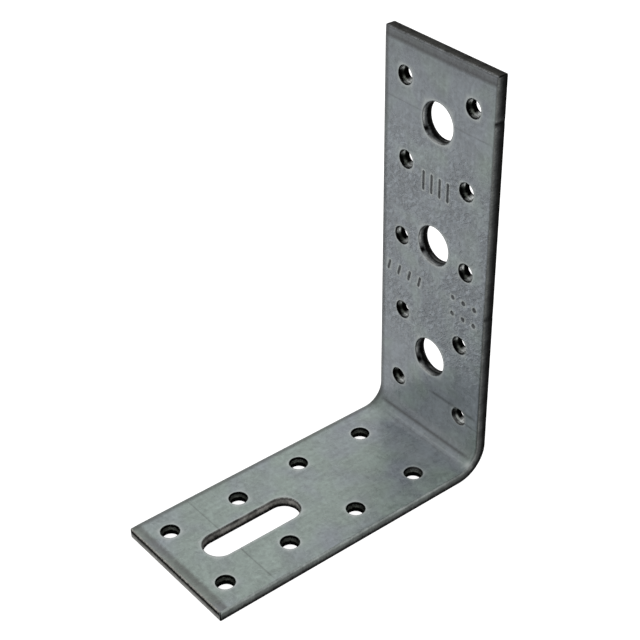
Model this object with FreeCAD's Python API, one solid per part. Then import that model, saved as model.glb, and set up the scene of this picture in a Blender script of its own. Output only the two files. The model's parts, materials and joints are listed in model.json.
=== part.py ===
"""Folded steel angle bracket, 120 x 90 x 40 mm.

One strip of 3 mm sheet is sheared to length, punched flat and bent once through a right angle.
The foot lies on the ground plane and points along -Y, and the upright stands at its back end.
The origin is at the middle of the bracket's outline, on the underside of the foot.
"""
import FreeCAD, Part
import os

# Strip, in millimetres
strip_width = 40.0
sheet_thickness = 3.0
upright_height = 120.0  # from the underside of the foot to the free end of the upright
foot_length = 90.0  # from the back of the upright to the free end of the foot
inner_bend_radius = 6.0

# Sheared edges: shearing draws the front of the sheet over, and presses a band across each free end
edge_roll_radius = 0.5
end_band_width = 3.5
end_band_depth = 0.35

# Nail holes: rows of two across each leg, wide and narrow by turns from the free end
nail_hole_diameter = 5.0
wide_row_gauge = 24.4
narrow_row_gauge = 22.4
upright_first_row_from_end = 11.2
upright_row_pitch = 23.35
foot_first_row_from_end = 7.4
foot_row_pitch = 21.45

# Bolt holes up the middle of the upright
bolt_hole_diameter = 11.0
first_bolt_from_end = 19.8
bolt_pitch = 35.7

# Slot along the middle of the foot, so that the bracket can be shifted on its bolt
slot_width = 9.0
slot_length = 30.0
slot_from_end = 10.0

# Punching draws the rim of a hole in on the front side, and a hole keeps this much web to the bend
drawn_rim = 0.25
least_web_to_bend = 2.0

# How far a cutting tool runs past the sheet on either side
tool_overrun = 1.0

outer_bend_radius = inner_bend_radius + sheet_thickness
end_thickness = sheet_thickness - end_band_depth
back_y = foot_length / 2
front_y = back_y - sheet_thickness
free_end_y = -foot_length / 2
bend_axis_y = back_y - outer_bend_radius
bend_axis_z = outer_bend_radius


def vec(x, y, z):
    return FreeCAD.Vector(x, y, z)


def bend_arc(radius):
    """Quarter circle about the bend's axis, from the foot round to the upright."""
    slant = radius * 0.5**0.5
    foot_side = vec(0, bend_axis_y, bend_axis_z - radius)
    middle = vec(0, bend_axis_y + slant, bend_axis_z - slant)
    upright_side = vec(0, bend_axis_y + radius, bend_axis_z)
    return Part.Arc(foot_side, middle, upright_side).toShape()


def lines(*points):
    """Straight edges through points given as (y, z) pairs in the plane x = 0."""
    return Part.makePolygon([vec(0, y, z) for y, z in points]).Edges


def front_outline():
    """Front of the folded sheet from the foot's free end, through the inside of the bend, to the top."""
    foot = lines(
        (free_end_y, end_thickness),
        (free_end_y + end_band_width, sheet_thickness),
        (bend_axis_y, sheet_thickness),
    )
    upright = lines(
        (front_y, bend_axis_z),
        (front_y, upright_height - end_band_width),
        (back_y - end_thickness, upright_height),
    )
    return foot + [bend_arc(inner_bend_radius)] + upright


def back_outline():
    """Back of the folded sheet, with its square-cut free ends."""
    foot = lines((free_end_y, end_thickness), (free_end_y, 0), (bend_axis_y, 0))
    upright = lines(
        (back_y, bend_axis_z), (back_y, upright_height), (back_y - end_thickness, upright_height)
    )
    return foot + [bend_arc(outer_bend_radius)] + upright


def middle_of(edge):
    return edge.valueAt((edge.FirstParameter + edge.LastParameter) / 2)


def edges_like(solid, wanted):
    """The edges of the solid whose middles lie on the middles of the wanted edges."""
    middles = [middle_of(edge) for edge in wanted]
    near = edge_roll_radius / 10
    return [
        edge
        for edge in solid.Edges
        if any(middle_of(edge).distanceToPoint(middle) < near for middle in middles)
    ]


def folded_strip():
    """The bare strip, bent, with its sides and ends rolled over on the front."""
    front = front_outline()
    profile = Part.Face(Part.Wire(Part.__sortEdges__(front + back_outline())))
    half_width = strip_width / 2
    strip = profile.translated(vec(-half_width, 0, 0)).extrude(vec(strip_width, 0, 0))
    side_edges = [edge.translated(vec(side, 0, 0)) for edge in front for side in (-half_width, half_width)]
    foot_end = Part.makeLine(
        vec(-half_width, free_end_y, end_thickness), vec(half_width, free_end_y, end_thickness)
    )
    top_end = Part.makeLine(
        vec(-half_width, back_y - end_thickness, upright_height),
        vec(half_width, back_y - end_thickness, upright_height),
    )
    return strip.makeFillet(edge_roll_radius, edges_like(strip, side_edges + [foot_end, top_end]))


def foot_frame():
    """Places a tool on the foot: +Y runs in from the free end, and +Z out of the front face."""
    return FreeCAD.Placement(vec(0, free_end_y, sheet_thickness), FreeCAD.Rotation())


def upright_frame():
    """The same for the upright: in from its free end is down, and out of its front face is -Y."""
    turn = FreeCAD.Rotation(vec(-1, 0, 0), vec(0, 0, -1), vec(0, -1, 0), "ZYX")
    return FreeCAD.Placement(vec(0, front_y, upright_height), turn)


def rim_profile(radius):
    """Half of a punched hole's section: straight below, and widening by the drawn rim at the front face."""
    bottom = -sheet_thickness - tool_overrun
    outline = [
        vec(0, 0, bottom),
        vec(radius, 0, bottom),
        vec(radius, 0, -drawn_rim),
        vec(radius + drawn_rim + tool_overrun, 0, tool_overrun),
        vec(0, 0, tool_overrun),
        vec(0, 0, bottom),
    ]
    return Part.Face(Part.makePolygon(outline))


def round_punch(diameter, across, from_end):
    """Tool for a round hole, placed by its distance across the leg and from the free end."""
    tool = rim_profile(diameter / 2).revolve(vec(0, 0, 0), vec(0, 0, 1), 360)
    return tool.translated(vec(across, from_end, 0))


def slot_punch(width, length, from_end):
    """Tool for a slot with round ends, lying along the middle of the leg."""
    near = from_end + width / 2
    far = from_end + length - width / 2
    right_half = rim_profile(width / 2).translated(vec(0, near, 0)).extrude(vec(0, far - near, 0))
    left_half = right_half.mirror(vec(0, 0, 0), vec(1, 0, 0))
    ends = [round_punch(width, 0, near), round_punch(width, 0, far)]
    return right_half.multiFuse([left_half] + ends).removeSplitter()


def places_from_end(first, pitch, leg_length, diameter):
    """Distances from the free end, one each pitch, as far as the bend leaves room for."""
    last = leg_length - outer_bend_radius - least_web_to_bend - diameter / 2
    count = int((last - first) / pitch) + 1
    return [first + pitch * place for place in range(count)]


def nail_punches(first, pitch, leg_length):
    """Tools for a leg's nail holes, in rows of two that are wide and narrow by turns."""
    gauges = (wide_row_gauge, narrow_row_gauge)
    tools = []
    for row, from_end in enumerate(places_from_end(first, pitch, leg_length, nail_hole_diameter)):
        half_gauge = gauges[row % len(gauges)] / 2
        for across in (-half_gauge, half_gauge):
            tools.append(round_punch(nail_hole_diameter, across, from_end))
    return tools


def upright_punches():
    tools = nail_punches(upright_first_row_from_end, upright_row_pitch, upright_height)
    for from_end in places_from_end(first_bolt_from_end, bolt_pitch, upright_height, bolt_hole_diameter):
        tools.append(round_punch(bolt_hole_diameter, 0, from_end))
    return placed(tools, upright_frame())


def foot_punches():
    tools = nail_punches(foot_first_row_from_end, foot_row_pitch, foot_length)
    tools.append(slot_punch(slot_width, slot_length, slot_from_end))
    return placed(tools, foot_frame())


def placed(tools, frame):
    return [tool.transformed(frame.toMatrix()) for tool in tools]


def angle_bracket():
    return folded_strip().cut(upright_punches() + foot_punches()).removeSplitter()


os.makedirs("parts", exist_ok=True)
angle_bracket().exportStep("parts/angle_bracket.step")
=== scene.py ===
"""Galvanised steel angle bracket on a pale studio floor.

The bracket is one strip of zinc coated sheet, punched flat and bent once. Its visible skin is drawn here as
the flat strip, with its holes, struck marks and sheared edges in place, and is then folded round the bend.
Sizes are in millimetres on the flat strip: across it, along it from the foot's free end, and down through it
from the front. The folded mesh is in metres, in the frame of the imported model.
"""

import json
import logging
import math
from dataclasses import dataclass, field
from enum import Enum
from typing import Any

import bpy
import numpy as np
from bpy.types import Material, Node, NodeSocket, NodeTree, Object
from mathutils import Matrix, Vector, noise


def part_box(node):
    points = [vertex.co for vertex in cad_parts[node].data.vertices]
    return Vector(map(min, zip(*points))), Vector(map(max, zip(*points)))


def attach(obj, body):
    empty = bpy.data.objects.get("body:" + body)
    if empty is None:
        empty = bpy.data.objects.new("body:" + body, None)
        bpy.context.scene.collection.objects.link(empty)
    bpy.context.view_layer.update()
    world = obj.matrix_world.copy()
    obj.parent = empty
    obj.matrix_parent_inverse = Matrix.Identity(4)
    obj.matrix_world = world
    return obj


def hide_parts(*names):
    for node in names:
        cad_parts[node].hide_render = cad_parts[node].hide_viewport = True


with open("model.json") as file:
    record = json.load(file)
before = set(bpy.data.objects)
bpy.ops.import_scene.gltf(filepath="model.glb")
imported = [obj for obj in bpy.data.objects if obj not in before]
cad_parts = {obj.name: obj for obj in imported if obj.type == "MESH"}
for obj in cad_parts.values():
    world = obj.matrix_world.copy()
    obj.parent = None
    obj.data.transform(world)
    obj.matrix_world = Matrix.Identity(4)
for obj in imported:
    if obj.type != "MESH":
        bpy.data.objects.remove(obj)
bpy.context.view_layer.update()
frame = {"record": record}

LOG = logging.getLogger("angle bracket")
NODE = "angle_bracket"
BODY = "root"
MM = 0.001  # metres in a millimetre

# Names of what the mesh stores at each point for the materials to read
FLAT_PLACE = "flat_place"  # across, along and down
WEAR_AND_HIGHLIGHT = "rubbed"  # how much lighter a point is drawn: 1 on a rim or an edge that handling has rubbed, and 0 a little way in; also painted highlight on hole walls, on the bend's ridge and at a corner, and painted light beside the bend
DIRT_AND_SHADE = "soiled"  # how much darker a point is drawn: 1 in a line or a struck mark, as painted shade in the groove; also painted shade on hole walls, and dirt in some places

NOISE_SPAN = (0.3, 0.7)  # nearly all of a noise pattern lies between these values
NEARLY = 1e-9  # how far two places may differ and still count as one

At = tuple[int, int]  # column and row of the plain mesh
Block = tuple[int, int, int, int]  # first and last column, and first and last row
Stops = tuple[tuple[float, str], ...]  # places and colours of a ramp
Row = tuple[Any, ...]  # a node of a material: see fill


class Skin(Enum):
    """What a face of the mesh is made of. The value is its material slot."""

    ZINC = 0
    LEFT_EDGE = 1
    RIGHT_EDGE = 2
    TOP_END = 3
    FOOT_END = 4
    NAIL_BORE = 5
    BOLT_BORE = 6
    SLOT_BORE = 7


@dataclass(frozen=True)
class Form:
    """The folded sheet."""

    width: float
    foot_length: float
    upright_height: float
    thickness: float = 3.0
    inner_radius: float = 6.0

    @classmethod
    def of_box(cls, low: Vector, high: Vector) -> "Form":
        """The form with the width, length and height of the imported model's box, given in metres."""
        size = (high - low) / MM
        return cls(width=size.x, foot_length=size.y, upright_height=size.z)

    @property
    def outer_radius(self) -> float:
        """Radius of the outside of the bend."""
        return self.inner_radius + self.thickness

    @property
    def bend_start(self) -> float:
        """Where the foot ends and the bend starts."""
        return self.foot_length - self.outer_radius

    @property
    def bend_arc(self) -> float:
        """Length of the bend at the middle of the sheet."""
        return (self.inner_radius + self.thickness / 2) * math.pi / 2

    @property
    def bend_end(self) -> float:
        """Where the bend ends and the upright starts."""
        return self.bend_start + self.bend_arc

    @property
    def length(self) -> float:
        """Length of the flat strip."""
        return self.bend_end + self.upright_height - self.outer_radius

    def from_top(self, distance: float) -> float:
        """Place along the strip at that distance from the upright's free end."""
        return self.length - distance

    def bend_place(self, degrees: float) -> float:
        """Place along the strip at that many degrees round the bend from the foot."""
        return self.bend_start + self.bend_arc * degrees / 90

    def folded(self, flat: np.ndarray) -> np.ndarray:
        """Folds points of the flat strip.

        Args:
            flat: Rows of across, along and down, in millimetres.

        Returns:
            Rows of x, y and z in metres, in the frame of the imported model.
        """
        across, along, down = flat.T
        turn = np.clip((along - self.bend_start) / self.bend_arc, 0, 1) * math.pi / 2
        radius = self.inner_radius + down
        before = np.minimum(along - self.bend_start, 0)
        after = np.maximum(along - self.bend_end, 0)
        y = self.foot_length / 2 - self.outer_radius + before + radius * np.sin(turn)
        z = self.outer_radius - radius * np.cos(turn) + after
        return np.column_stack([across, y, z]) * MM


@dataclass(frozen=True)
class WallLightPatch:
    """A patch of a hole's wall drawn lighter as painted highlight, or black as painted shade, at about the
    same bearing in each hole.
    """

    bearing: float  # degrees round the hole, from straight across the strip
    half_angle: float
    top: float  # where it starts and ends down the wall
    bottom: float
    rubbed: float = 0.0
    soiled: float = 0.0
    fullness: float = 1.5  # above 1, the middle of the patch is even

    def share_at(self, bearings: np.ndarray, down: float) -> np.ndarray:
        """Works out how much of the patch the wall has at one depth.

        Args:
            bearings: Degrees round the hole.
            down: The depth.

        Returns:
            A share from 0 to 1 for each bearing.
        """
        apart = np.abs((bearings - self.bearing + 180) % 360 - 180)
        share = np.clip(self.fullness * (1 - apart / self.half_angle), 0, 1)
        return share * (self.top <= down <= self.bottom)


@dataclass(frozen=True)
class Punch:
    """A round-ended tool: a circle, or the same circle drawn along a short run."""

    across: float
    along: float
    radius: float
    run: float = 0.0
    turn: float = 90.0  # degrees from straight across to the run's direction
    bore: Skin | None = None  # what the wall is made of, or None for a mark that stays blind
    light_patches: tuple[WallLightPatch, ...] = ()
    taper: float = 1.0  # share of its wall's usual set back

    @property
    def through(self) -> bool:
        """Whether the tool goes right through the sheet."""
        return self.bore is not None

    @property
    def way(self) -> np.ndarray:
        """Direction of the run."""
        return np.array([math.cos(math.radians(self.turn)), math.sin(math.radians(self.turn))])

    def outline(self, facing: np.ndarray, clearance: np.ndarray | float) -> np.ndarray:
        """Points of the tool's outline.

        Args:
            facing: Rows of across and along, round the tool, one for each point wanted.
            clearance: How far each point stands back from the tool.

        Returns:
            The points of the outline nearest to those places.
        """
        middle = np.array([self.across, self.along])
        reach = np.clip((facing - middle) @ self.way, -self.run / 2, self.run / 2)
        core = middle + reach[:, None] * self.way
        out = facing - core
        out = out / np.linalg.norm(out, axis=1)[:, None]
        return core + out * (self.radius + np.asarray(clearance)).reshape(-1, 1)

    def lit_and_shaded(self, places: np.ndarray, down: float) -> np.ndarray:
        """Works out how much painted highlight and how much painted shade the wall has.

        Args:
            places: Rows of across and along, on the wall.
            down: Their depth.

        Returns:
            A row of lighter and a row of darker values, with one for each place.
        """
        bearings = np.degrees(np.arctan2(places[:, 1] - self.along, places[:, 0] - self.across))
        held = np.zeros((2, len(places)))
        for wall_patch in self.light_patches:
            share = wall_patch.share_at(bearings, down)
            held = np.maximum(held, np.outer((wall_patch.rubbed, wall_patch.soiled), share))
        return held

    def box(self, room: float) -> tuple[float, float, float, float]:
        """Lowest and highest across, and lowest and highest along, of the tool with room round it."""
        side, length = np.abs(self.way) * self.run / 2 + self.radius + room
        return self.across - side, self.across + side, self.along - length, self.along + length


@dataclass(frozen=True)
class CutWall:
    """Section of a wall that a tool has cut: drawn in at the top, then smooth, then broken."""

    roll: float
    burnished_to: float
    set_back: float  # how far the broken part stands back from the tool, or in from it where negative
    ragged: float
    burr: float = 0.12
    roll_steps: int = 4
    broken_steps: int = 4

    def section(self, thickness: float, taper: float = 1.0) -> list[tuple[float, float, float]]:
        """Steps down the wall from its top face to its bottom one.

        Args:
            thickness: Thickness of the sheet.
            taper: Share of the set back that this wall has.

        Returns:
            For each step, how far it stands back from the tool, its depth, and how ragged it is.
        """
        steps = []
        for step in range(self.roll_steps + 1):
            angle = math.pi / 2 * step / self.roll_steps
            steps.append((self.roll * (1 - math.sin(angle)), self.roll * (1 - math.cos(angle)), 0.0))
        steps.append((0.0, (self.roll + self.burnished_to) / 2, 0.0))
        steps.append((0.0, self.burnished_to, self.ragged / 4))
        set_back = self.set_back * taper
        top = self.burnished_to + self.burr
        for step in range(self.broken_steps + 1):
            share = step / self.broken_steps
            down = top + (thickness - self.burr - top) * share
            steps.append((set_back * (1 + share) / 2, down, self.ragged))
        steps.append((set_back + self.burr / 2, thickness, 0.0))
        return steps


@dataclass(frozen=True)
class CrossLine:
    """A shallow line pressed straight across the strip by a tool, or a ridge if its depth is negative."""

    along: float
    depth: float
    half_width: float = 0.35
    start: float = -20.0
    end: float = 20.0
    fade: float = 3.0
    # How much darker the groove is drawn, as painted shade, and how much lighter a ridge is drawn, as painted
    # highlight
    soiled: float = 0.0
    rubbed: float = 0.0
    broken: float = 0.0  # how far the line comes and goes along its length
    broken_mm: float = 2.6
    broken_contrast: float = 1.5

    def stops(self) -> list[float]:
        """Places along the strip at which the mesh needs points for the line."""
        return [self.along - self.half_width, self.along, self.along + self.half_width]

    def depth_at(self, across: np.ndarray, along: np.ndarray) -> np.ndarray:
        """Works out how deep the line is, with its two ends faded out.

        Args:
            across: Places across the strip.
            along: The same places along it.

        Returns:
            The depth at each place.
        """
        section = np.clip(1 - np.abs(along - self.along) / self.half_width, 0, 1)
        from_end = np.minimum(across - self.start, self.end - across) / self.fade
        pressed = self.depth * section * np.clip(from_end, 0, 1)
        if self.broken:
            come = np.array([noise.noise(Vector((x / self.broken_mm, self.along, 0))) for x in across])
            pressed = pressed * (1 - self.broken * np.clip(0.5 + self.broken_contrast * come, 0, 1))
        return pressed


@dataclass(frozen=True)
class Spot:
    """A soft-edged place on the front that is drawn lighter or darker."""

    across: float
    along: float
    half_width: float
    half_length: float
    rubbed: float = 0.0
    soiled: float = 0.0

    def share_at(self, across: np.ndarray, along: np.ndarray) -> np.ndarray:
        """How much of the spot each place has, from 0 to 1."""
        aside, ahead = (across - self.across) / self.half_width, (along - self.along) / self.half_length
        return np.exp(-(aside**2) - ahead**2)


@dataclass(frozen=True)
class Nick:
    """A dent in the right-hand edge."""

    along: float
    depth: float
    half_length: float
    soiled: float = 0.0
    rubbed: float = 0.0
    reach: float = 4.0  # how far down it would go in a thick enough sheet
    fullness: float = 1.3  # above 1, the middle of the dent is even

    def share_at(self, places: np.ndarray, down: float) -> np.ndarray:
        """How much of the dent each place of the edge has at that depth down the wall, from 0 to 1."""
        section = np.clip(self.fullness * (1 - np.abs(places[:, 1] - self.along) / self.half_length), 0, 1)
        return section * (places[:, 0] > 0) * max(0.0, 1 - down / self.reach)


def inside(block: Block, inset: int = 0) -> set[At]:
    """The cells of a block, or with an inset of 1 the points that lie within it."""
    first_x, last_x, first_s, last_s = block
    return {(i, j) for i in range(first_x + inset, last_x) for j in range(first_s + inset, last_s)}


def border(block: Block) -> list[At]:
    """Columns and rows of the points on the edge of a block, anticlockwise seen from the front."""
    first_x, last_x, first_s, last_s = block
    return (
        [(i, first_s) for i in range(first_x, last_x)]
        + [(last_x, j) for j in range(first_s, last_s)]
        + [(i, last_s) for i in range(last_x, first_x, -1)]
        + [(first_x, j) for j in range(last_s, first_s, -1)]
    )


@dataclass
class Strip:
    """Mesh of the strip, drawn flat and folded at the end."""

    form: Form
    wall: CutWall
    hole_walls: dict[Skin, CutWall]
    lines: list[CrossLine]
    nicks: list[Nick]
    spots: list[Spot]
    cell: float = 1.0  # side of the plain mesh's cells
    band_width: float = 2.8  # the band that the shear has pressed across each free end
    band_depth: float = 0.12
    crease_depth: float = 0.05  # the line where the band ends
    crease_half_width: float = 0.25
    wave_depth: float = 0.03
    wave_length: float = 17.0
    grit: float = 1.1  # lumps on a broken wall, to a millimetre
    # how dark the rounded corners of the sheared wall are drawn
    corner_darkening: float = 0.85
    corner_steps: int = 4
    hole_room: float = 0.9  # ring of mesh round each hole, and round each struck mark
    mark_room: float = 0.63
    point_spacing: float = 0.3  # between the points round a tool
    # Loops round a tool: share of the way out to the plain mesh, and how worn, which draws it lighter
    rings: tuple[tuple[float, float], ...] = ((0.62, 0.0), (0.3, 0.25), (0.1, 0.8))
    # A struck mark's lip and flank: how far back from the tool, depth, how much lighter the lip is drawn, and
    # how much darker, as painted shade down into the mark
    lip: tuple[tuple[float, float, float, float], ...] = (
        (0.06, -0.02, 0.5, 0.0), (0.0, 0.02, 0.2, 0.4), (-0.1, 0.14, 0.0, 0.85)
    )
    lip_width: float = 0.12
    mark_depth: float = 0.22
    mark_flat: float = 0.4  # share of the mark's width that is flat at the bottom
    # painted shade at the bottom of a struck mark
    mark_bottom_shade: float = 0.85

    points: list[tuple[float, ...]] = field(default_factory=list)  # across, along, down, rubbed and soiled
    faces: list[tuple[int, ...]] = field(default_factory=list)
    skins: list[int] = field(default_factory=list)

    def __post_init__(self) -> None:
        """Sets the columns and rows of the plain mesh."""
        edge = self.form.width / 2 - self.wall.roll
        count = int(edge / self.cell)
        self.across = np.array([-edge, *(self.cell * step for step in range(-count, count + 1)), edge])
        hard = [self.wall.roll, self.form.length - self.wall.roll, self.form.bend_start, self.form.bend_end]
        for crease in (self.band_width, self.form.length - self.band_width):
            hard += [crease - self.crease_half_width, crease, crease + self.crease_half_width]
        for line in self.lines:
            hard += line.stops()
        hard.sort()
        rows = hard[:1]
        for low, high in zip(hard, hard[1:]):
            count = max(1, math.ceil((high - low) / self.cell - NEARLY))
            rows += [low + (high - low) * step / count for step in range(1, count + 1)]
        self.along = np.array(rows)

    def places(self, at: list[At]) -> np.ndarray:
        """Rows of across and along for those columns and rows."""
        return np.array([(self.across[i], self.along[j]) for i, j in at])

    def loop(
        self, places: np.ndarray, down: float, rubbed: np.ndarray | float = 0.0,
        soiled: np.ndarray | float = 0.0,
    ) -> list[int]:
        """Adds points at one depth.

        Args:
            places: Rows of across and along.
            down: Their depth.
            rubbed: How much lighter they are drawn, by wear and painted highlight, in one or one for each.
            soiled: How much darker they are drawn, by dirt and painted shade.

        Returns:
            The points' numbers.
        """
        start = len(self.points)
        self.points += zip(*np.broadcast_arrays(*places.T, down, rubbed, soiled))
        return list(range(start, len(self.points)))

    def face(self, corners: list[int], skin: Skin) -> None:
        """Adds a face, leaving out corners that repeat.

        Args:
            corners: Numbers of its points.
            skin: What it is made of.
        """
        kept = [c for c, before in zip(corners, corners[-1:] + corners[:-1]) if c != before]
        self.faces.append(tuple(kept))
        self.skins.append(skin.value)

    def bridge(self, first: list[int], second: list[int], skins: Skin | list[Skin]) -> None:
        """Joins two closed loops of points with faces.

        Args:
            first: Numbers of the points of the loop that comes first from the top face down.
            second: The other loop's, as many or a whole number of times as many.
            skins: What the faces are made of, in one or one for each point of the first loop.
        """
        times = len(second) // len(first)
        half = times // 2
        for index, near in enumerate(first):
            skin = skins if isinstance(skins, Skin) else skins[index]
            far = first[(index + 1) % len(first)]
            inner = [second[(index * times + step) % len(second)] for step in range(times + 1)]
            for step in range(half):
                self.face([near, inner[step + 1], inner[step]], skin)
            if times == 1:
                self.face([near, far, inner[1], inner[0]], skin)
                continue
            self.face([near, far, inner[half]], skin)
            for step in range(half, times):
                self.face([far, inner[step + 1], inner[step]], skin)

    def window(self, punch: Punch) -> Block:
        """Finds the block of cells that a tool takes the place of.

        Args:
            punch: The tool.

        Returns:
            The block.
        """
        low_x, high_x, low_s, high_s = punch.box(self.hole_room if punch.through else self.mark_room)
        first_x, last_x = np.searchsorted(self.across, (low_x + NEARLY, high_x - NEARLY))
        first_s, last_s = np.searchsorted(self.along, (low_s + NEARLY, high_s - NEARLY))
        return int(first_x) - 1, int(last_x), int(first_s) - 1, int(last_s)

    def lattice(self, down: float, blocks: list[Block]) -> dict[At, int]:
        """Lays the plain mesh of one face of the sheet, with a gap for each block.

        Args:
            down: Depth of the face.
            blocks: The blocks of cells that are left out.

        Returns:
            The number of the point at each column and row.
        """
        gone = set().union(*(inside(block) for block in blocks))
        within = set().union(*(inside(block, 1) for block in blocks))
        whole = (0, len(self.across) - 1, 0, len(self.along) - 1)
        columns, rows = range(whole[1] + 1), range(whole[3] + 1)
        kept = [(i, j) for i in columns for j in rows if (i, j) not in within]
        points = dict(zip(kept, self.loop(self.places(kept), down)))
        for i, j in sorted(inside(whole) - gone):
            corners = [points[i, j], points[i + 1, j], points[i + 1, j + 1], points[i, j + 1]]
            self.face(corners if down == 0 else corners[::-1], Skin.ZINC)
        return points

    def uneven(self, places: np.ndarray, down: float, amount: float) -> np.ndarray:
        """How far each place on a broken wall stands out of line, the same in each run."""
        lumps = [noise.noise(Vector((x * self.grit, s * self.grit, down))) for x, s in places]
        return amount * np.array(lumps)

    def ringed(self, punch: Punch, fine: np.ndarray, clearance: float, down: float) -> list[list[int]]:
        """Loops of points from a block's border in to a tool's rim, the one next to the border first."""
        rim = punch.outline(fine, clearance)
        return [self.loop(rim * (1 - share) + fine * share, down, rubbed) for share, rubbed in self.rings]

    def hole(self, punch: Punch, fine: np.ndarray) -> tuple[list[list[int]], list[Skin]]:
        """Adds the points of a hole.

        Args:
            punch: The tool.
            fine: Places round its block, one for each point of the rim.

        Returns:
            Loops from the front's mesh, down the wall and out to the back's, and what lies between them.
        """
        steps = self.hole_walls[punch.bore].section(self.form.thickness, punch.taper)
        above = self.ringed(punch, fine, steps[0][0], 0.0)
        wall = []
        for clearance, down, ragged in steps:
            rim = punch.outline(fine, clearance)
            rim = punch.outline(fine, clearance + self.uneven(rim, down, ragged))
            wall.append(self.loop(rim, down, *punch.lit_and_shaded(rim, down)))
        below = self.ringed(punch, fine, steps[-1][0], self.form.thickness)[::-1]
        zinc = [Skin.ZINC] * len(self.rings)
        return above + wall + below, zinc + [punch.bore] * (len(wall) - 1) + zinc

    def mark(self, punch: Punch, fine: np.ndarray) -> tuple[list[list[int]], list[Skin]]:
        """Adds the points of a struck mark, which has a raised lip and a rounded bottom.

        Args:
            punch: The tool.
            fine: Places round its block, one for each point of the outline.

        Returns:
            Loops from the front's mesh in to the bottom, and what lies between them.
        """
        loops = self.ringed(punch, fine, self.lip_width, 0.0)
        bottom = (-punch.radius * (1 - self.mark_flat), self.mark_depth, 0.0, self.mark_bottom_shade)
        for clearance, down, rubbed, soiled in (*self.lip, bottom):
            loops.append(self.loop(punch.outline(fine, clearance), down, rubbed, soiled))
        return loops, [Skin.ZINC] * (len(loops) - 1)

    def drive(self, punch: Punch, front: dict[At, int], back: dict[At, int]) -> None:
        """Drives a tool through the sheet, or strikes it into the front.

        Args:
            punch: The tool.
            front: Points of the front face by column and row.
            back: Points of the back face.
        """
        around = border(self.window(punch))
        ring = self.places(around)
        girth = 2 * math.pi * punch.radius + 2 * punch.run
        times = max(1, math.ceil(girth / self.point_spacing / len(ring)))
        share = np.arange(times)[None, :, None] / times
        fine = (ring[:, None] * (1 - share) + np.roll(ring, -1, axis=0)[:, None] * share).reshape(-1, 2)
        loops, skins = self.hole(punch, fine) if punch.through else self.mark(punch, fine)
        self.bridge([front[at] for at in around], loops[0], Skin.ZINC)
        for first, second, skin in zip(loops, loops[1:], skins):
            self.bridge(first, second, skin)
        if punch.through:
            made = len(self.faces)
            self.bridge([back[at] for at in around], loops[-1], Skin.ZINC)
            self.faces[made:] = [corners[::-1] for corners in self.faces[made:]]
        else:
            self.face(loops[-1], Skin.ZINC)

    def shear(self, front: dict[At, int], back: dict[At, int]) -> None:
        """Makes the sheared wall round the strip, with its corners just rounded.

        Args:
            front: Points of the front face by column and row.
            back: Points of the back face.
        """
        last_x, last_s = len(self.across) - 1, len(self.along) - 1
        sides = (
            ([(0, j) for j in range(last_s + 1)], 180.0, Skin.LEFT_EDGE),
            ([(i, last_s) for i in range(last_x + 1)], 90.0, Skin.TOP_END),
            ([(last_x, j) for j in range(last_s, -1, -1)], 0.0, Skin.RIGHT_EDGE),
            ([(i, 0) for i in range(last_x, -1, -1)], -90.0, Skin.FOOT_END),
        )
        around: list[At] = []
        facings: list[float] = []
        skins: list[Skin] = []
        for side, facing, skin in sides:
            turns = [facing - 90 * step / self.corner_steps for step in range(1, self.corner_steps)]
            around += side + side[-1:] * len(turns)
            facings += [facing] * len(side) + turns
            skins += [skin] * (len(side) + len(turns))
        base = self.places(around)
        out = np.column_stack([np.cos(np.radians(facings)), np.sin(np.radians(facings))])
        in_corner = np.array([facing % 90 != 0 for facing in facings])
        loops = [[front[at] for at in around]]
        for clearance, down, ragged in self.wall.section(self.form.thickness)[1:]:
            back_off = clearance + np.abs(self.uneven(base, down, ragged))
            held = np.outer((0.0, self.corner_darkening), in_corner)
            for nick in self.nicks:
                share = nick.share_at(base, down)
                back_off = back_off + nick.depth * share
                held = np.maximum(held, np.outer((nick.rubbed, nick.soiled), share))
            loops.append(self.loop(base + out * (self.wall.roll - back_off)[:, None], down, *held))
        loops.append([back[at] for at in around])
        for first, second in zip(loops[:-1], loops[1:-1]):
            self.bridge(first, second, skins)
        self.bridge(loops[-2], loops[-1], Skin.ZINC)

    def relief(self, flat: np.ndarray) -> np.ndarray:
        """How far each point is pressed down, most on the front face and not at all on the back.

        Args:
            flat: Rows of across, along and down.

        Returns:
            One depth for each row.
        """
        across, along, down = flat.T
        from_end = np.minimum(along, self.form.length - along)
        crease = np.abs(from_end - self.band_width) / self.crease_half_width
        waves = [noise.noise(Vector(place) / self.wave_length) for place in flat]
        depth = self.band_depth * np.clip(1 - from_end / self.band_width, 0, 1)
        depth = depth + self.crease_depth * np.clip(1 - crease, 0, 1) + self.wave_depth * np.array(waves)
        for line in self.lines:
            depth = depth + line.depth_at(across, along)
        return depth * (1 - down / self.form.thickness)

    def marked(self, flat: np.ndarray, what: str, held: np.ndarray) -> np.ndarray:
        """Adds what the lines and spots on the front hold to what the points already have.

        Args:
            flat: Rows of across, along and down.
            what: The name of the stored lighter or darker value, which is also the name of the lines' and
                spots' own value.
            held: The points' value so far.

        Returns:
            One value for each row.
        """
        across, along, down = flat.T
        shares = [(line, np.abs(line.depth_at(across, along) / line.depth)) for line in self.lines]
        shares += [(spot, spot.share_at(across, along)) for spot in self.spots]
        for mark, share in shares:
            held = np.maximum(held, getattr(mark, what) * share * (down < self.form.thickness / 2))
        return held

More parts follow.
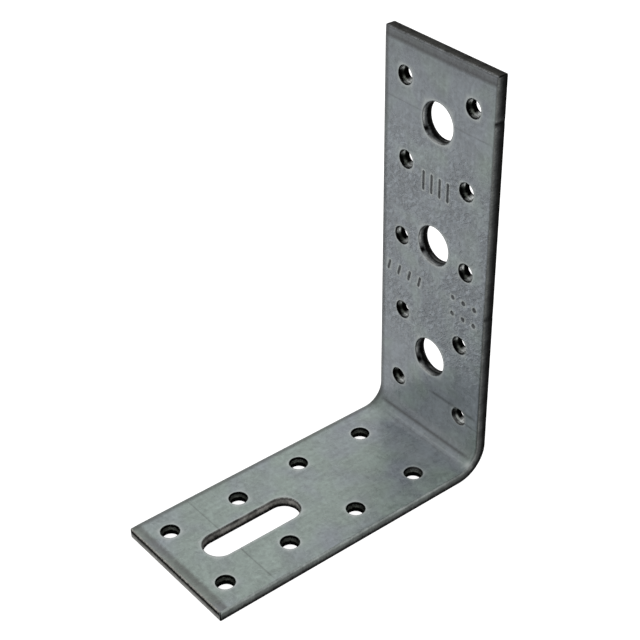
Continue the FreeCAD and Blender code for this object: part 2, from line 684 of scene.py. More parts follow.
    def build(self, name: str, punches: list[Punch]) -> Object:
        """Punches, shears and folds the strip.

        Args:
            name: Name of the piece.
            punches: Every tool that is driven or struck.

        Returns:
            The piece, smooth shaded, with each face's material index set by its skin, and no materials yet.

        Raises:
            ValueError: Two tools would need the same cell.
        """
        blocks = [self.window(punch) for punch in punches]
        taken = [cell for block in blocks for cell in inside(block)]
        if len(set(taken)) < len(taken):
            raise ValueError("two tools are too close together")
        front = self.lattice(0.0, blocks)
        back = self.lattice(self.form.thickness, [b for b, punch in zip(blocks, punches) if punch.through])
        for punch in punches:
            self.drive(punch, front, back)
        self.shear(front, back)
        flat, rubbed, soiled = np.split(np.array(self.points), (3, 4), axis=1)
        pressed = flat + np.outer(self.relief(flat), (0, 0, 1))
        mesh = bpy.data.meshes.new(name)
        mesh.from_pydata(self.form.folded(pressed).tolist(), [], self.faces)
        mesh.polygons.foreach_set("material_index", self.skins)
        mesh.polygons.foreach_set("use_smooth", [True] * len(self.faces))
        mesh.attributes.new(FLAT_PLACE, "FLOAT_VECTOR", "POINT").data.foreach_set("vector", flat.ravel())
        for what, held in ((WEAR_AND_HIGHLIGHT, rubbed), (DIRT_AND_SHADE, soiled)):
            values = self.marked(flat, what, held.ravel())
            mesh.attributes.new(what, "FLOAT", "POINT").data.foreach_set("value", values)
        mesh.validate()
        mesh.update()
        return new_object(name, mesh)


def new_object(name: str, data: bpy.types.ID) -> Object:
    """Makes an object and puts it in the scene.

    Args:
        name: Its name.
        data: Its mesh, lamp or camera.

    Returns:
        The object.
    """
    made = bpy.data.objects.new(name, data)
    bpy.context.scene.collection.objects.link(made)
    return made


def linear(colour: str) -> tuple[float, float, float, float]:
    """Turns an sRGB hex value into a linear colour.

    Args:
        colour: The value, such as "#8a9090".

    Returns:
        The colour, with full opacity.
    """
    parts = [int(colour[start:start + 2], 16) / 255 for start in (1, 3, 5)]
    light = [p / 12.92 if p <= 0.04045 else ((p + 0.055) / 1.055) ** 2.4 for p in parts]
    return (*light, 1.0)


def grey(level: float) -> tuple[float, float, float, float]:
    """A neutral colour of that linear level."""
    return level, level, level, 1.0


def add_node(
    tree: NodeTree, kind: str, settings: dict[str, Any], inputs: dict[str | int, Any], stops: Stops = ()
) -> Node:
    """Adds a node with its settings and links.

    Args:
        tree: The node tree.
        kind: The node's type, without the ShaderNode that starts its name.
        settings: Values of the node's own properties.
        inputs: For each input, by name or number, a value or the output that feeds it.
        stops: Places and colours of a colour ramp.

    Returns:
        The node.
    """
    node = tree.nodes.new("ShaderNode" + kind)
    for name, value in settings.items():
        setattr(node, name, value)
    for name, value in inputs.items():
        if isinstance(value, NodeSocket):
            tree.links.new(value, node.inputs[name])
        else:
            node.inputs[name].default_value = value
    if stops:
        ramp = node.color_ramp.elements
        while len(ramp) < len(stops):
            ramp.new(1.0)
        for element, (place, colour) in zip(ramp, stops):
            element.position = place
            element.color = linear(colour)
    return node


def fill(tree: NodeTree, end: str, rows: list[Row]) -> None:
    """Fills a node tree from a table.

    Args:
        tree: The node tree.
        end: Kind of the node that takes the last row's output as its surface.
        rows: For each node, a name for its output, its kind, that output's own name or number, its settings,
            its inputs and any colour stops. An input that is text takes the output of the last row so named.
    """
    tree.nodes.clear()
    made: dict[str, NodeSocket] = {}
    for name, kind, output, settings, inputs, *stops in rows:
        fed = {place: made[value] if isinstance(value, str) else value for place, value in inputs.items()}
        made[name] = add_node(tree, kind, settings, fed, *stops).outputs[output]
    add_node(tree, end, {}, {"Surface": made[name]})


def new_material(name: str, rows: list[Row]) -> Material:
    """Makes a material.

    Args:
        name: What it is made of.
        rows: Its nodes, as fill takes them.

    Returns:
        The material.
    """
    material = bpy.data.materials.new(name)
    material.use_nodes = True
    fill(material.node_tree, "OutputMaterial", rows)
    return material


ADD = {"operation": "ADD"}
DIVIDE = {"operation": "DIVIDE"}
LARGER = {"operation": "MAXIMUM"}
MULTIPLY = {"operation": "MULTIPLY"}
COLOUR = {"data_type": "RGBA"}

# What both finishes start from: the point's place on the flat strip, and what it holds
STORED: list[Row] = [
    ("place", "Attribute", "Vector", {"attribute_name": FLAT_PLACE}, {}),
    ("down", "SeparateXYZ", "Z", {}, {0: "place"}),
    (WEAR_AND_HIGHLIGHT, "Attribute", "Fac", {"attribute_name": WEAR_AND_HIGHLIGHT}, {}),
    (DIRT_AND_SHADE, "Attribute", "Fac", {"attribute_name": DIRT_AND_SHADE}, {}),
]

# 1 for camera, glossy and transmission rays, which show the background, and 0 for the light on the object
SEEN: list[Row] = [
    ("camera", "LightPath", "Is Camera Ray", {}, {}),
    ("glossy", "LightPath", "Is Glossy Ray", {}, {}),
    ("through", "LightPath", "Is Transmission Ray", {}, {}),
    ("seen", "Math", 0, LARGER, {0: "camera", 1: "glossy"}),
    ("seen", "Math", 0, LARGER, {0: "seen", 1: "through"}),
]


@dataclass(frozen=True)
class SkinPassedZinc:
    """Hot-dip galvanised sheet, rolled after dipping: a matt, cloudy grey with no spangle to see."""

    form: Form
    green_grey: str = "#8a9791"
    blue_grey: str = "#868d93"
    wear_and_highlight_colour: str = "#b4bab8"  # zinc drawn lighter: polished by handling, and painted highlight and painted light
    rolled: str = "#b0b0ae"  # painted shade where the left edge is rolled over and turns away from the light
    right_rim_shade_colour: str = "#9f9f9d"  # the same painted shade on the right of the upright, which widens the dark edge
    # zinc drawn darker: dirt, and painted shade in grooves, struck marks and the bend's line
    dirt_and_shade_colour: str = "#2b2c2c"
    foot_end_shade: Stops = (  # painted shade of the slope of the band that the shear pressed, by distance in mm
        (0.0, "#d6d2d0"), (0.8, "#d4d0ce"), (1.3, "#bfbbb9"), (1.8, "#b2aead"), (2.3, "#bab6b5"),
        (2.8, "#e4e2e1"), (3.2, "#ffffff"),
    )
    # the same painted shade at the upright's free end, fading out over its top 30 mm
    upright_end_shade: Stops = (
        (0.0, "#747371"), (0.4, "#908e8c"), (0.8, "#c2c0be"), (1.1, "#a6a4a2"), (1.7, "#a6a4a2"),
        (2.1, "#848383"), (2.5, "#7e7d7e"), (2.8, "#acabaa"), (3.4, "#ececec"), (5.2, "#ececec"),
        (6.2, "#f4f4f4"), (20.0, "#f8f8f8"), (30.0, "#ffffff"),
    )
    bend_shade: Stops = (  # painted shade over the bend, in the inner corner between the foot and the upright
        (0.0, "#ffffff"), (2.0, "#eeeeee"), (3.0, "#e2e2e2"), (4.0, "#ededed"), (5.0, "#ebebeb"),
        (6.2, "#dedede"), (8.5, "#d6d6d6"), (9.8, "#e8e8e8"), (11.5, "#ffffff"),
    )
    cloud_mm: float = 7.0
    tint_mm: float = 12.0
    grain_mm: float = 1.1  # drawn coarser than the real grain, which is too fine to show
    fleck_mm: float = 2.2
    dent_mm: tuple[float, float] = (1.7, 1.0)  # length and width of the dents in the upright
    dent_turn: float = 45.0  # degrees from straight across the strip to the dents
    dent_shade: tuple[float, float] = (0.72, 1.26)  # painted shade and painted highlight of the dents: how dark and how light they make the zinc
    dented_mm: float = 12.0  # size of the areas of the upright that are dented
    streak_mm: tuple[float, float] = (1.1, 12.0)
    rim_mm: tuple[float, float] = (0.8, 2.0)  # where the rolled edge's painted shade fades out
    right_rim_mm: tuple[float, float] = (0.35, 1.0)
    metallic: float = 0.14  # the oxide on the zinc scatters most of the light
    roughness: float = 0.28
    bump_mm: float = 0.05
    dent_bump_mm: float = 0.22

    def patterns(self) -> list[Row]:
        """Lists the place across and along the strip, and the noise patterns.

        Returns:
            Rows whose outputs they are.
        """
        streak = (self.streak_mm[0], self.streak_mm[1], self.streak_mm[0])
        dent = (self.dent_mm[0], self.dent_mm[1], self.dent_mm[1])
        slant = (0.0, 0.0, math.radians(self.dent_turn))
        rows = [
            ("across", "SeparateXYZ", "X", {}, {0: "place"}),
            ("along", "SeparateXYZ", "Y", {}, {0: "place"}),
            ("drawn", "VectorMath", 0, DIVIDE, {0: "place", 1: streak}),
            ("slanted", "Mapping", "Vector", {"vector_type": "TEXTURE"},
             {"Vector": "place", "Rotation": slant, "Scale": dent}),
        ]
        # Name, place, size in millimetres, detail, roughness and distortion
        for name, place, size, detail, rough, bend in (
            ("cloud", "place", self.cloud_mm, 5.0, 0.65, 0.5),
            ("tint", "place", self.tint_mm, 1.0, 0.5, 0.4),
            ("grain", "place", self.grain_mm, 3.0, 0.7, 0.0),
            ("fleck", "place", self.fleck_mm, 3.0, 0.75, 1.2),
            ("dent", "slanted", 1.0, 3.0, 0.7, 0.7),
            ("area", "place", self.dented_mm, 2.0, 0.6, 0.5),
            ("streak", "drawn", 1.0, 2.0, 0.5, 0.4),
        ):
            values = {"Scale": 1 / size, "Detail": detail, "Roughness": rough, "Distortion": bend}
            rows.append((name, "TexNoise", "Fac", {}, {"Vector": place, **values}))
        return rows

    def masks(self) -> list[Row]:
        """Lists the values that pass smoothly from one level to another over the strip or over a pattern.

        Returns:
            Rows whose outputs are the values.
        """
        edge = self.form.width / 2
        bent, top = self.form.bend_end, self.form.length
        rows = []
        # Name, what it follows, where it starts and ends, and its first and last level
        for name, value, start, end, first, last in (
            ("front", "down", 1.2, 0.8, 0.0, 1.0),
            ("left_rim", "across", self.rim_mm[1] - edge, self.rim_mm[0] - edge, 0.0, 1.0),
            ("right_rim", "across", edge - self.right_rim_mm[1], edge - self.right_rim_mm[0], 0.0, 1.0),
            ("past_ridge", "along", self.form.bend_place(35), self.form.bend_place(60), 0.0, 1.0),
            ("blueness", "along", self.form.bend_start - 35, bent + 5, -0.1, 0.16),
            ("dented", "along", bent + 15, bent + 30, 0.1, 1.0),
            ("low_part", "along", top - 20, top - 30, 0.25, 1.0),
            ("areas", "area", 0.38, 0.56, 0.45, 1.0),
            ("dents", "dent", 0.32, 0.68, 0.0, 1.0),
            ("dulled", "cloud", *NOISE_SPAN, self.roughness - 0.05, self.roughness + 0.07),
            ("cloud_shade", "cloud", *NOISE_SPAN, 0.87, 1.13),
            ("grain_shade", "grain", *NOISE_SPAN, 0.88, 1.12),
            ("fleck_shade", "fleck", *NOISE_SPAN, 0.89, 1.11),
            ("streak_shade", "streak", *NOISE_SPAN, 0.94, 1.06),
            ("band_shift", "fleck", *NOISE_SPAN, -0.14, 0.14),
        ):
            levels = {"From Min": start, "From Max": end, "To Min": first, "To Max": last}
            smooth = {"interpolation_type": "SMOOTHSTEP"}
            rows.append((name, "MapRange", "Result", smooth, {"Value": value, **levels}))
        for name, other in (
            ("dented", "low_part"), ("dented", "areas"), ("dented", "front"), ("right_rim", "past_ridge")
        ):
            rows.append((name, "Math", 0, MULTIPLY, {0: name, 1: other}))
        return rows

    def bands(self) -> list[Row]:
        """Lists the painted shade over the band that the shear has pressed across each free end, and over the
        bend.

        Returns:
            Rows that change the level.
        """
        rows = [("shifted", "Math", 0, ADD, {0: "along", 1: "band_shift"})]
        multiplied = {**COLOUR, "blend_type": "MULTIPLY"}
        for start, sign, stops in (
            (0.0, 1.0, self.foot_end_shade), (self.form.length, -1.0, self.upright_end_shade),
            (self.form.bend_start, 1.0, self.bend_shade),
        ):
            reach = stops[-1][0]
            ramp = tuple((at / reach, colour) for at, colour in stops)
            ends = {"From Min": start, "From Max": start + sign * reach}
            rows += [
                ("share", "MapRange", "Result", {}, {"Value": "shifted", **ends}),
                ("shade", "ValToRGB", "Color", {}, {"Fac": "share"}, ramp),
                ("level", "Mix", 2, multiplied, {0: "front", 6: "level", 7: "shade"}),
            ]
        return rows

    def material(self) -> Material:
        """Builds the material.

        Returns:
            The zinc: clouds, grain and dents with painted shade and highlight, then painted shade over the
                pressed bands, the bend and the rolled edges, and places drawn lighter or darker by wear,
                dirt, painted highlight, painted light and painted shade.
        """
        darkest, lightest = self.dent_shade
        rows = [
            *STORED, *self.patterns(), *self.masks(),
            ("tinted", "Math", 0, ADD, {0: "tint", 1: "blueness"}),
            ("level", "ValToRGB", "Color", {}, {"Fac": "tinted"},
             ((0.35, self.green_grey), (0.65, self.blue_grey))),
            ("dark", "MapRange", "Result", {}, {"Value": "dents", "To Min": darkest, "To Max": lightest}),
            ("dent_shade", "Mix", 0, {"data_type": "FLOAT"}, {0: "dented", 2: 1.0, 3: "dark"}),
        ]
        for shade in ("cloud_shade", "grain_shade", "fleck_shade", "streak_shade", "dent_shade"):
            rows.append(("level", "VectorMath", 0, MULTIPLY, {0: "level", 1: shade}))
        rows += self.bands()
        for share, colour, blend in (
            ("left_rim", self.rolled, "MULTIPLY"), ("right_rim", self.right_rim_shade_colour, "MULTIPLY"),
            (WEAR_AND_HIGHLIGHT, self.wear_and_highlight_colour, "MIX"), (DIRT_AND_SHADE, self.dirt_and_shade_colour, "MIX"),
        ):
            mixed = {**COLOUR, "blend_type": blend}
            rows.append(("level", "Mix", 2, mixed, {0: share, 6: "level", 7: linear(colour)}))
        rows += [
            ("height", "Math", 0, ADD, {0: "grain", 1: "fleck"}),
            ("bump", "Bump", "Normal", {},
             {"Height": "height", "Strength": 0.6, "Distance": self.bump_mm * MM}),
            ("bump", "Bump", "Normal", {},
             {"Height": "dents", "Strength": "dented", "Distance": self.dent_bump_mm * MM, "Normal": "bump"}),
            ("surface", "BsdfPrincipled", 0, {},
             {"Base Color": "level", "Metallic": self.metallic, "Roughness": "dulled", "Normal": "bump"}),
        ]
        return new_material("galvanised steel, skin-passed zinc", rows)


@dataclass(frozen=True)
class CutSteel:
    """Bare steel wall left by a shear or a punch: scored smooth at the top, dark and grainy below."""

    name: str
    thickness: float
    stops: Stops  # share of the depth, and colour
    foot_stops: Stops = ()  # the same beside the foot, if it differs there
    foot_mm: tuple[float, float] = (68.0, 92.0)  # where the one passes into the other along the strip
    bright: str = "#a4a6a5"  # lighter patches: painted highlight on hole walls, and a rubbed place beside a nick
    black_and_shade: str = "#030303"  # black patches: painted shade on hole walls, and the dark corners and nicks of the edges
    score_mm: float = 0.35
    grit_mm: float = 0.45
    patch_mm: float = 3.2
    patchy: float = 0.35  # how far patches of the wall go above and below its level
    speckled: float = 0.3  # the same for its grit
    wander: float = 0.06  # share of the thickness that the bands go up and down by
    smooth: float = 0.4
    broken: float = 0.65
    burnished_share: float = 0.5
    metallic: float = 1.0
    edge_tint: float = 0.5  # grease keeps the steel from shining at a low angle
    bump_mm: float = 0.05

    def material(self) -> Material:
        """Builds the material.

        Returns:
            The cut wall, banded by depth, with score marks that run down through the sheet.
        """
        score = (self.score_mm, self.score_mm, self.thickness)
        rows = [*STORED, ("drawn", "VectorMath", 0, DIVIDE, {0: "place", 1: score})]
        # Name, place, size in millimetres, detail, roughness, span, and the middle and swing of its shade
        for name, place, size, detail, rough, (low, high), middle, swing in (
            ("grit", "place", self.grit_mm, 3.0, 0.7, NOISE_SPAN, 1.0, self.speckled),
            ("patch", "place", self.patch_mm, 2.0, 0.6, (0.36, 0.64), 1.0, self.patchy),
            ("score", "drawn", 1.0, 2.0, 0.5, NOISE_SPAN, 0.0, self.wander),
        ):
            values = {"Scale": 1 / size, "Detail": detail, "Roughness": rough}
            ends = {"From Min": low, "From Max": high, "To Min": middle - swing, "To Max": middle + swing}
            rows += [
                (name, "TexNoise", "Fac", {}, {"Vector": place, **values}),
                (name + "_shade", "MapRange", "Result", {}, {"Value": name, **ends}),
            ]
        rows += [
            ("share", "Math", 0, DIVIDE, {0: "down", 1: self.thickness}),
            ("level", "Math", 0, {**ADD, "use_clamp": True}, {0: "share", 1: "score_shade"}),
            ("base", "ValToRGB", "Color", {}, {"Fac": "level"}, self.stops),
        ]
        if self.foot_stops:
            near, far = self.foot_mm
            rows += [
                ("along", "SeparateXYZ", "Y", {}, {0: "place"}),
                ("by_foot", "MapRange", "Result", {}, {"Value": "along", "From Min": far, "From Max": near}),
                ("foot", "ValToRGB", "Color", {}, {"Fac": "level"}, self.foot_stops),
                ("base", "Mix", 2, COLOUR, {0: "by_foot", 6: "base", 7: "foot"}),
            ]
        for share, colour in ((WEAR_AND_HIGHLIGHT, self.bright), (DIRT_AND_SHADE, self.black_and_shade)):
            rows.append(("base", "Mix", 2, COLOUR, {0: share, 6: "base", 7: linear(colour)}))
        for shade in ("grit_shade", "patch_shade"):
            rows.append(("base", "VectorMath", 0, MULTIPLY, {0: "base", 1: shade}))
        breaks = {"From Min": self.burnished_share - 0.05, "From Max": self.burnished_share + 0.05}
        rows += [
            ("rough", "MapRange", "Result", {},
             {"Value": "level", **breaks, "To Min": self.smooth, "To Max": self.broken}),
            ("height", "Math", 0, MULTIPLY, {0: "grit", 1: "level"}),
            ("bump", "Bump", "Normal", {},
             {"Height": "height", "Strength": 0.8, "Distance": self.bump_mm * MM}),
            ("surface", "BsdfPrincipled", 0, {},
             {"Base Color": "base", "Metallic": self.metallic, "Roughness": "rough", "Normal": "bump",
              "Specular Tint": grey(self.edge_tint)}),
        ]
        return new_material(self.name, rows)


@dataclass
class AngleBracket:
    """The bracket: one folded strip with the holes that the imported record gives."""

    form: Form
    mounts: list[dict]
    large_hole: float = 4.0  # a hole with a larger radius than this takes a bolt
    foot_taper: float = 0.3  # the foot's holes narrow less towards the back than the upright's
    patch_shift: float = 14.0  # degrees by which the patches of painted highlight and shade differ from hole to hole

    def bore(self, radius: float, run: float) -> Skin:
        """What the wall of a hole of that radius and run is made of."""
        round_bore = Skin.BOLT_BORE if radius > self.large_hole else Skin.NAIL_BORE
        return Skin.SLOT_BORE if run > 0 else round_bore

    def holes(self) -> list[Punch]:
        """Reads the holes from the record's mounts.

        Returns:
            A tool for each hole and for the slot, placed on the flat strip.
        """
        tools = []
        for mount in self.mounts:
            if mount["kind"] != "bolt_pattern":
                continue
            x, y, z = (value / MM for value in mount["pos_m"])
            dims = mount["dims"]
            upright = mount["axis"][1] > 0
            middle = y + self.form.foot_length / 2
            if upright:
                middle = self.form.from_top(self.form.upright_height - z)
            aside, ahead = dims.get("spacing_x_mm", 0) / 2, dims.get("spacing_y_mm", 0) / 2
            radius = dims["hole_r_mm"]
            run = max(0.0, dims.get("slot_length_mm", 0) - 2 * radius)
            bore = self.bore(radius, run)
            taper = 1.0 if upright else self.foot_taper
            for across in sorted({x - aside, x + aside}):
                for along in sorted({middle - ahead, middle + ahead}):
                    light_patches = self.light_patches(bore, along) if upright else ()
                    tools.append(Punch(across, along, radius, run, bore=bore, light_patches=light_patches, taper=taper))
        return tools

    def light_patches(self, bore: Skin, along: float) -> tuple[WallLightPatch, ...]:
        """Patches of painted highlight and painted shade on the wall of a hole in the upright.

        Args:
            bore: What the wall is made of.
            along: The hole's place, which shifts the patches a little from hole to hole.

        Returns:
            The patches.
        """
        shift = self.patch_shift * math.sin(along)
        if bore is Skin.BOLT_BORE:
            # Painted highlight on the left and at the bottom of the wall, and painted shade low on the left
            return (
                WallLightPatch(176 + shift / 2, 36, 0.15, 0.8, rubbed=0.62),
                WallLightPatch(216, 12, 0.0, 1.3, soiled=1.0),
                WallLightPatch(262 + shift / 2, 36, 0.0, 0.7, rubbed=0.62),
                WallLightPatch(284 + shift, 44, 1.7, 2.5, rubbed=0.22),
            )
        # Painted highlight upper left and at the bottom of the wall, and painted shade low on the left
        return (
            WallLightPatch(158 + shift, 26, 0.7, 1.7, rubbed=0.7),
            WallLightPatch(206 + shift, 30, 0.0, 2.0, soiled=0.9),
            WallLightPatch(290 + shift / 2, 44, 0.7, 2.6, rubbed=0.8),
        )

    def struck_marks(self) -> list[Punch]:
        """Plain tally strokes and dots struck into the upright, which say nothing.

        Returns:
            A blind tool for each mark.
        """
        top = self.form.from_top
        strokes = [Punch(across, top(37.8), 0.42, 4.8) for across in (-4.5, -1.5, 1.5, 4.5)]
        slants = [Punch(across, top(69.3), 0.4, 2.6, 75.0) for across in (-17.0, -13.0, -9.0, -5.0)]
        dots = [Punch(across, top(down), 0.7) for across in (8.0, 12.0, 16.0) for down in (67.5, 72.5)]
        return strokes + slants + dots

    def tool_lines(self) -> list[CrossLine]:
        """Lines pressed across the strip by the shear's gauge and by the bending tool, with painted shade in
        the grooves and a painted highlight on the ridge.
        """
        top, bend = self.form.from_top, self.form.bend_place
        return [
            CrossLine(17.7, 0.06, soiled=0.45),
            CrossLine(top(18.6), 0.06, soiled=0.35),
            CrossLine(top(102.3), 0.1, 0.8, start=0.0, soiled=0.6),
            CrossLine(top(105.7), 0.08, 0.4, start=13.5, fade=1.5, soiled=0.5),
            CrossLine(bend(50), 0.13, 0.95, -18.5, 19.0, soiled=0.72),
            CrossLine(bend(23), 0.05, 0.35, -14.0, 15.0, soiled=0.22),
            CrossLine(bend(32), -0.1, 0.4, -15.0, 20.0, rubbed=0.38, broken=0.6),
        ]

    def nicks(self) -> list[Nick]:
        """Dents in the right-hand edge of the upright, one of them with a bright place beside it."""
        top = self.form.from_top
        return [
            Nick(top(12.7), 0.35, 0.8, soiled=1.0),
            Nick(top(11.7), 0.05, 0.5, rubbed=0.14),
            Nick(top(68.3), 0.3, 0.8, soiled=1.0),
        ]

    def spots(self) -> list[Spot]:
        """Places drawn lighter or darker: a painted highlight where the bend's ridge meets the right-hand
        edge, painted light either side of the bend's inner corner, and darker places.
        """
        top, bend = self.form.from_top, self.form.bend_place
        return [
            # Painted highlight where the bend's ridge meets the right-hand edge
            Spot(19.1, bend(35), 0.8, 1.1, rubbed=0.9),
            # Darker places: beside a nick, on the left edge at the bend, and small spots and broad soft
            # patches on the foot
            Spot(19.8, top(12.6), 0.6, 0.6, soiled=0.7),
            Spot(-18.7, bend(38), 1.2, 3.2, soiled=0.35),
            Spot(-15.8, 38.8, 1.1, 0.7, soiled=0.2),
            Spot(-15.3, 41.0, 0.7, 0.6, soiled=0.14),
            Spot(-17.3, 50.0, 0.6, 1.1, soiled=0.14),
            Spot(-18.6, 33.0, 0.5, 1.6, soiled=0.12),
            Spot(6.0, 59.5, 8.0, 5.0, soiled=0.16),
            Spot(17.5, 50.0, 4.0, 7.0, soiled=0.14),
            # Painted light either side of the bend, lifting the inner corner's shade
            Spot(4.0, 77.5, 10.0, 3.5, rubbed=0.2),
            Spot(8.0, top(110.0), 11.0, 9.0, rubbed=0.2),
        ]

    def finishes(self) -> dict[Skin, SkinPassedZinc | CutSteel]:
        """What each skin of the mesh is made of, in the order of the material slots."""
        thickness = self.form.thickness
        return {
            Skin.ZINC: SkinPassedZinc(self.form),
            Skin.LEFT_EDGE: CutSteel(
                "slit steel edge, left", thickness,
                ((0.0, "#6d706d"), (0.08, "#565652"), (0.6, "#4a4a48"), (0.8, "#1b1b1b"), (1.0, "#55585a")),
                patchy=0.15,
            ),
            # Darker than the left edge, as painted shade on the side turned from the lamps over the bare
            # steel's own dark tone, and drawn lighter beside the foot as painted light
            Skin.RIGHT_EDGE: CutSteel(
                "slit steel edge, right", thickness,
                ((0.0, "#5c5e5d"), (0.08, "#4c4e4d"), (0.14, "#454747"), (0.25, "#363737"), (0.38, "#2d2e2e"),
                 (0.52, "#222323"), (0.66, "#1f1f1f"), (0.85, "#131313"), (1.0, "#1e1e1e")),
                ((0.0, "#858b89"), (0.1, "#828886"), (0.2, "#707573"), (0.3, "#5c605e"), (0.55, "#565958"),
                 (0.68, "#3c3e3d"), (0.8, "#202020"), (0.92, "#151515"), (1.0, "#252626")),
                patchy=0.2,
            ),
            Skin.TOP_END: CutSteel(
                "sheared steel end, upright", thickness,
                ((0.0, "#6c6e70"), (0.05, "#555655"), (0.1, "#3a3a39"), (0.2, "#333331"), (0.86, "#313130"),
                 (0.93, "#4c4c48"), (1.0, "#62625c")),
                patchy=0.3,
            ),
            Skin.FOOT_END: CutSteel(
                "sheared steel end, foot", thickness,
                ((0.0, "#8a8a86"), (0.05, "#84847f"), (0.08, "#5a5a56"), (0.13, "#0b0b0b"), (0.36, "#080808"),
                 (0.44, "#4c4c4a"), (0.56, "#72726f"), (0.7, "#858582"), (1.0, "#8a8a88")),
                patchy=0.15,
            ),
            # Black just below the rim as painted shade of the rim rolled into the hole, and a pale colour for
            # the wall's painted highlight
            Skin.NAIL_BORE: CutSteel(
                "punched steel bore, nail hole", thickness,
                ((0.0, "#202220"), (0.04, "#030303"), (0.23, "#040404"), (0.34, "#4c504c"), (0.52, "#454843"),
                 (0.62, "#060606"), (1.0, "#020202")),
                bright="#d4d7d6",
            ),
            Skin.BOLT_BORE: CutSteel(
                "punched steel bore, bolt hole", thickness,
                ((0.0, "#5c5f60"), (0.05, "#3a3b3b"), (0.14, "#46484a"), (0.4, "#3c3e3e"), (0.52, "#0b0b0b"),
                 (0.8, "#0d0d0d"), (1.0, "#2c2c2b")),
                patchy=0.5,
            ),
            Skin.SLOT_BORE: CutSteel(
                "punched steel bore, slot", thickness,
                ((0.0, "#6e706e"), (0.06, "#4a4a48"), (0.14, "#3e3d3c"), (0.3, "#5f5e5b"), (0.6, "#5a5956"),
                 (0.72, "#1c1b1a"), (0.9, "#100f0f"), (1.0, "#0c0c0c")),
                patchy=0.6,
            ),
        }

    def build(self) -> Object:
        """Builds and dresses the bracket.

        Returns:
            The piece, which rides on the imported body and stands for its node.
        """
        strip = Strip(
            form=self.form,
            wall=CutWall(roll=0.35, burnished_to=1.3, set_back=0.04, ragged=0.025),
            hole_walls={
                Skin.NAIL_BORE: CutWall(roll=0.15, burnished_to=1.4, set_back=-0.5, ragged=0.05, burr=0.04),
                Skin.BOLT_BORE: CutWall(roll=0.25, burnished_to=1.5, set_back=-0.06, ragged=0.05, burr=0.04),
                Skin.SLOT_BORE: CutWall(roll=0.25, burnished_to=1.5, set_back=-0.06, ragged=0.06, burr=0.04),
            },
            lines=self.tool_lines(),
            nicks=self.nicks(),
            spots=self.spots(),
        )
        piece = strip.build("galvanised_bracket", self.holes() + self.struck_marks())
        for finish in self.finishes().values():
            piece.data.materials.append(finish.material())
        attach(piece, BODY)
        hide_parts(NODE)
        return piece


def direction(azimuth: float, elevation: float) -> Vector:
    """Direction from the object towards a place at that azimuth and elevation, in degrees."""
    a, e = math.radians(azimuth), math.radians(elevation)
    return Vector((math.sin(a) * math.cos(e), -math.cos(a) * math.cos(e), math.sin(e)))


@dataclass(frozen=True)
class Lamp:
    """A soft lamp far away, so that it lights the floor evenly."""

    name: str
    azimuth: float
    elevation: float
    strength: float
    spread: float  # width of the lamp as the object sees it, in degrees

    def build(self) -> None:
        """Adds the lamp, turned to shine on the object."""
        light = bpy.data.lights.new(self.name, "SUN")
        light.energy = self.strength
        light.angle = math.radians(self.spread)
        lamp = new_object(self.name, light)
        lamp.rotation_mode = "QUATERNION"
        lamp.rotation_quaternion = direction(self.azimuth, self.elevation).to_track_quat("Z", "Y")


@dataclass(frozen=True)
class Camera:
    """The camera, at the photograph's viewing angle. Distances in millimetres and angles in degrees."""

    azimuth: float = 51.275
    elevation: float = 34.692
    roll: float = -0.832
    distance: float = 404.07
    aim: tuple[float, float, float] = (-13.43, 14.64, 46.19)
    lens: float = 86.28

    def build(self) -> Object:
        """Adds the camera and makes it the scene's own.

        Returns:
            The camera.
        """
        back = direction(self.azimuth, self.elevation)
        right = Vector((0, 0, 1)).cross(back).normalized()
        turn = Matrix((right, back.cross(right), back)).transposed()
        turn = turn @ Matrix.Rotation(math.radians(self.roll), 3, "Z")
        place = (Vector(self.aim) + back * self.distance) * MM
        camera = new_object("camera", bpy.data.cameras.new("camera"))
        camera.data.lens = self.lens
        camera.matrix_world = Matrix.Translation(place) @ turn.to_4x4()
        bpy.context.scene.camera = camera
        return camera


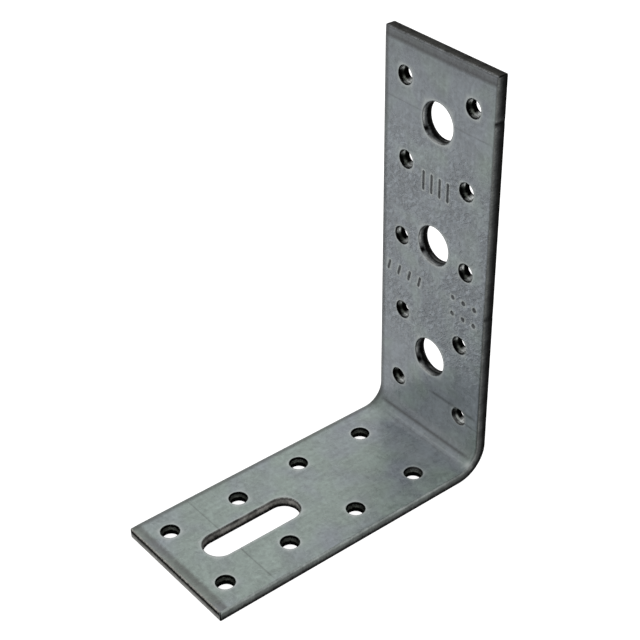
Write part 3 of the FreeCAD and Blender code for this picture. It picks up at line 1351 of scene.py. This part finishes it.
@dataclass(frozen=True)
class Studio:
    """Pale floor, white surroundings and soft lamps."""

    floor_size: float = 6.0  # metres
    floor_gap: float = 0.02  # between the foot and the floor, in millimetres
    floor_colour: str = "#cacaca"
    glow: float = 0.85
    ambient: float = 0.49
    lamps: tuple[Lamp, ...] = (
        Lamp("key", -125.0, 48.0, 0.3, 50.0),
        Lamp("front", 40.0, 42.0, 0.73, 70.0),
    )

    def floor(self) -> Object:
        """Adds the floor.

        Returns:
            The floor, which shows white and keeps the object's shadow.
        """
        half = self.floor_size / 2
        corners = [(-half, -half), (half, -half), (half, half), (-half, half)]
        mesh = bpy.data.meshes.new("floor")
        mesh.from_pydata([(x, y, -self.floor_gap * MM) for x, y in corners], [], [(0, 1, 2, 3)])
        mesh.materials.append(new_material("pale painted floor", [
            *SEEN,
            ("paint", "BsdfDiffuse", 0, {}, {"Color": linear(self.floor_colour)}),
            ("glow", "Emission", 0, {}, {"Color": grey(1.0), "Strength": self.glow}),
            ("lit", "AddShader", 0, {}, {0: "paint", 1: "glow"}),
            ("mixed", "MixShader", 0, {}, {0: "seen", 1: "paint", 2: "lit"}),
        ]))
        floor = new_object("floor", mesh)
        return floor

    def surroundings(self) -> None:
        """Sets the world: white where it shows, and a plain soft light on the object."""
        world = bpy.data.worlds.new("studio")
        world.use_nodes = True
        fill(world.node_tree, "OutputWorld", [
            *SEEN,
            ("plain", "Background", 0, {}, {"Color": grey(1.0), "Strength": self.ambient}),
            ("white", "Background", 0, {}, {"Color": grey(1.0), "Strength": 1.0}),
            ("mixed", "MixShader", 0, {}, {0: "seen", 1: "plain", 2: "white"}),
        ])
        bpy.context.scene.world = world

    def build(self) -> None:
        """Builds the floor, the surroundings and the lamps."""
        self.floor()
        self.surroundings()
        for lamp in self.lamps:
            lamp.build()
        bpy.context.scene.view_settings.view_transform = "Standard"


def write_sizes() -> None:
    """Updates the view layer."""
    bpy.context.view_layer.update()


def main() -> None:
    """Builds the bracket, the studio and the camera, and reports each piece."""
    logging.basicConfig(level=logging.INFO, format="%(name)s: %(message)s")
    bracket = AngleBracket(Form.of_box(*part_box(NODE)), frame["record"]["mounts"])
    piece = bracket.build()
    LOG.info("%s: %d faces, %d holes", piece.name, len(piece.data.polygons), len(bracket.holes()))
    Studio().build()
    LOG.info("studio built")
    camera = Camera().build()
    LOG.info("%s at %s", camera.name, [round(value, 4) for value in camera.matrix_world.translation])
    write_sizes()


if __name__ == "__main__":
    main()
